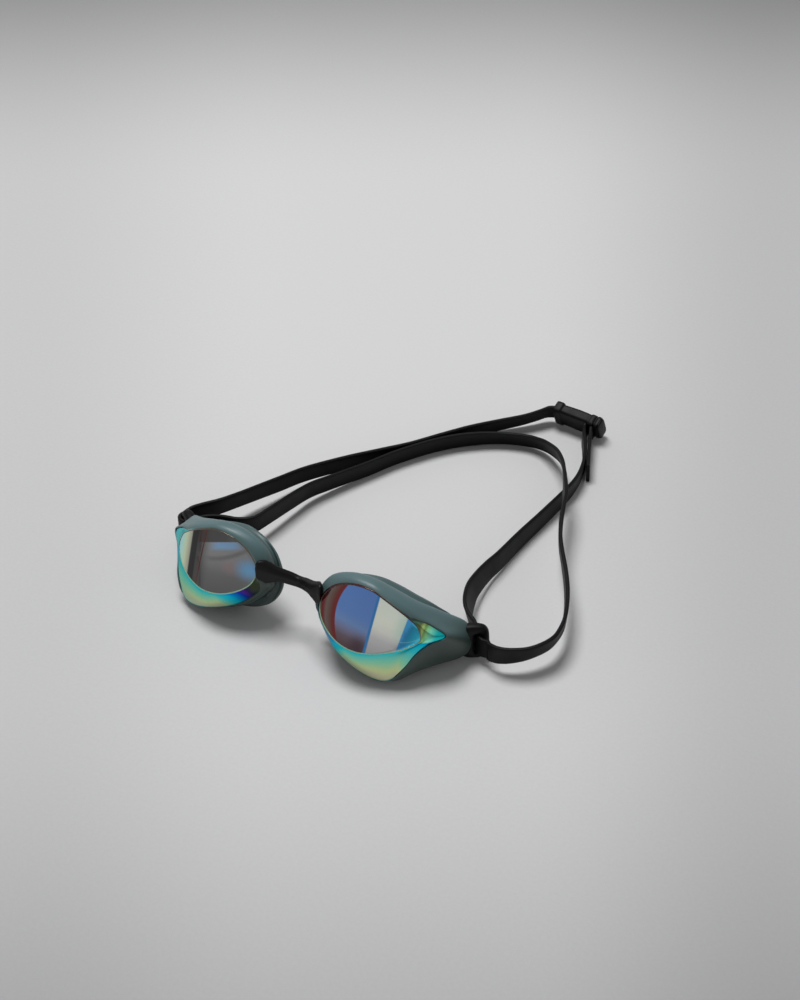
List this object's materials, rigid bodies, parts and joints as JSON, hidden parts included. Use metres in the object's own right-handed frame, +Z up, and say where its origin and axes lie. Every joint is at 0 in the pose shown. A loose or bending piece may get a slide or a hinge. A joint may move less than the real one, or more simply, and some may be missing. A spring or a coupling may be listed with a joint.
{
  "type": "swim goggles",
  "caption": "Racing swim goggles with mirrored wraparound lenses in soft frames, a slim nose bridge, side clips and a doubled flat strap with a rear buckle, lying on a table.",
  "frame": {"origin": "on the table, under the middle of the two eyecups and the nose bridge", "axes": "+X to the wearer's left (image right), -Y the way the lenses face, +Z up"},
  "size_m": [0.1294, 0.1494, 0.03],
  "materials": {
    "lens_mirror": "iridescent mirror coating on clear plastic, blue and teal turning to yellow-green",
    "frame_green": "satin grey-green soft frame",
    "seal_green": "satin grey-green silicone",
    "clip_black": "black, half gloss",
    "bridge_black": "satin black",
    "strap_black": "satin black silicone"
  },
  "bodies": {
    "bridge": {"nose_bridge": "bridge_black", "strap_lower_left": "strap_black", "strap_lower_right": "strap_black", "strap_upper_left_front": "strap_black", "strap_upper_left_rear": "strap_black", "strap_upper_right_front": "strap_black", "strap_upper_right_rear": "strap_black"},
    "left_cup": {"lens_left": "lens_mirror", "frame_left": "frame_green", "face_seal_left": "seal_green", "side_clip_left": "clip_black", "strap_fold_left": "strap_black"},
    "right_cup": {"lens_right": "lens_mirror", "frame_right": "frame_green", "face_seal_right": "seal_green", "side_clip_right": "clip_black", "strap_fold_right": "strap_black"},
    "buckle": {"strap_buckle": "clip_black", "strap_buckle_loop": "strap_black", "strap_tail": "strap_black"}
  },
  "joints": [
    {"name": "left_cup_flex", "type": "hinge", "parent": "bridge", "child": "left_cup", "pos_m": [-0.007, -0.0049, 0.019], "axis": [0, 0, 1], "range_deg": [-8, 15], "stiffness_Nm_per_rad": 0.08, "deforming": ["nose_bridge", "strap_lower_left", "strap_upper_left_front"]},
    {"name": "right_cup_flex", "type": "hinge", "parent": "bridge", "child": "right_cup", "pos_m": [0.007, -0.0049, 0.019], "axis": [0, 0, -1], "range_deg": [-8, 15], "stiffness_Nm_per_rad": 0.08, "deforming": ["nose_bridge", "strap_lower_right", "strap_upper_right_front"]},
    {"name": "buckle_slide", "type": "slide", "parent": "bridge", "child": "buckle", "axis": [0.9976, -0.0698, 0], "range_m": [-0.006, 0.006], "deforming": ["strap_upper_left_rear", "strap_upper_right_rear"]}
  ]
}
